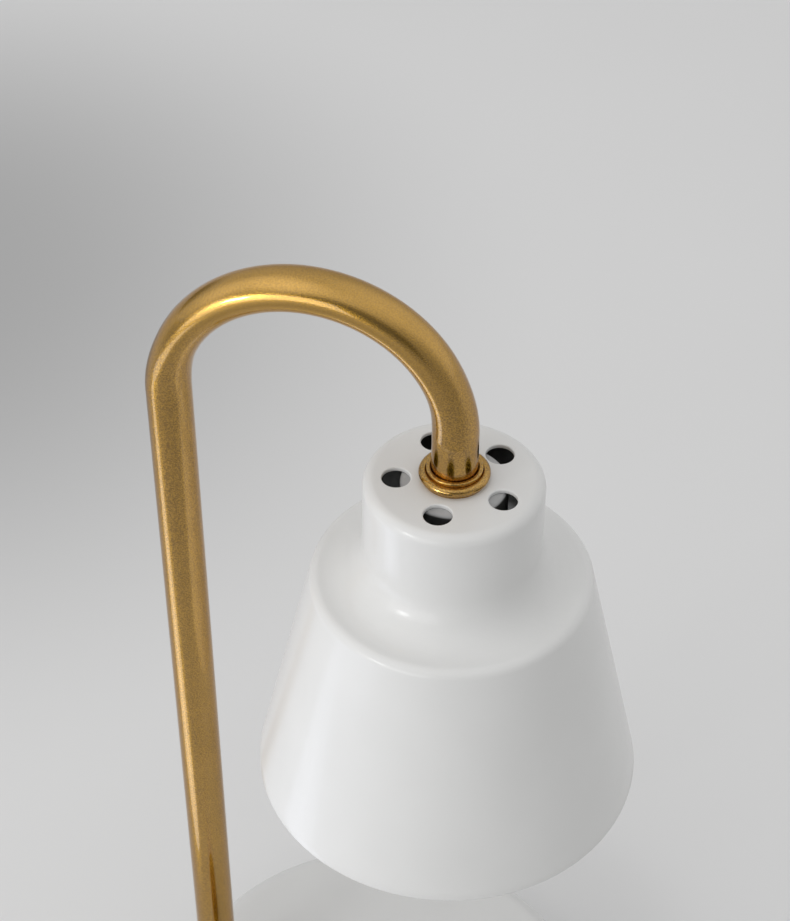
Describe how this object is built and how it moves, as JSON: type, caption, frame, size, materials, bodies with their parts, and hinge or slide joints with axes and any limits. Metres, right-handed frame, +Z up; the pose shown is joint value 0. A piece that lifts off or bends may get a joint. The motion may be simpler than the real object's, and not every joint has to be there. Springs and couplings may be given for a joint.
{
  "type": "candle warmer lamp",
  "caption": "Table lamp that melts a jar candle from above: bent tube on a round weighted base, bell-shaped shade, twist-lock bulb and rotary dimmer.",
  "frame": {"origin": "centre of the base's underside, on the table", "axes": "+Z up, +X from the post towards the shade, -Y to the front, where the knob is"},
  "size_m": [0.1435, 0.1416, 0.3219],
  "materials": {
    "white_paint": "warm white satin paint",
    "brass": "satin brushed",
    "steel": "zinc plated",
    "cast_iron": "rough, primed",
    "foam": "closed-cell foam, matt",
    "gland_plastic": "moulded, matt",
    "black_plastic": "moulded, matt",
    "clear_nylon": "natural nylon",
    "ceramic": "fired, unglazed",
    "glass": "clear",
    "mirror_glass": "dichroic coated",
    "nickel": "nickel plated",
    "tungsten": "drawn wire",
    "silicone_white": "silicone sleeve",
    "silicone_brown": "silicone sleeve"
  },
  "bodies": {
    "lamp": {"base_cover": "white_paint", "base_weight": "cast_iron", "bottom_plate": "steel", "bottom_screws": "steel", "base_pad": "foam", "cord_gland": "gland_plastic", "dimmer_body": "black_plastic", "dimmer_tabs": "brass", "dimmer_bush": "brass", "dimmer_washer": "steel", "dimmer_nut": "nickel", "terminal_block": "clear_nylon", "terminal_inserts": "brass", "terminal_screws": "steel", "terminal_fixing_screw": "steel", "bent_tube": "brass", "foot_flange": "brass", "foot_stem": "steel", "foot_washer": "steel", "foot_nut": "steel", "foot_bush": "clear_nylon", "shade_collar": "brass", "shade_stem": "steel", "lock_washer": "steel", "shade_nut": "steel", "shade_bush": "clear_nylon", "shade": "white_paint", "holder_cup": "steel", "lampholder": "ceramic", "holder_clips": "brass", "holder_screws": "steel", "lead_neutral": "silicone_white", "lead_switched": "silicone_brown", "lead_feed": "silicone_brown"},
    "dimmer_knob": {"knob": "brass", "dimmer_shaft": "steel", "knob_screw": "steel"},
    "bulb": {"bulb_base": "ceramic", "bulb_pins": "nickel", "bulb_reflector": "mirror_glass", "bulb_lens": "glass", "bulb_capsule": "glass", "bulb_filament": "tungsten"}
  },
  "joints": [
    {"name": "dimmer_turn", "type": "hinge", "parent": "lamp", "child": "dimmer_knob", "pos_m": [-0.03683, -0.03949, 0.022], "axis": [0, 0, -1], "range_deg": [0, 280]},
    {"name": "bulb_twist", "type": "hinge", "parent": "lamp", "child": "bulb", "pos_m": [0.02, 0, 0.2325], "axis": [0, 0, 1], "range_deg": [0, 25]}
  ]
}
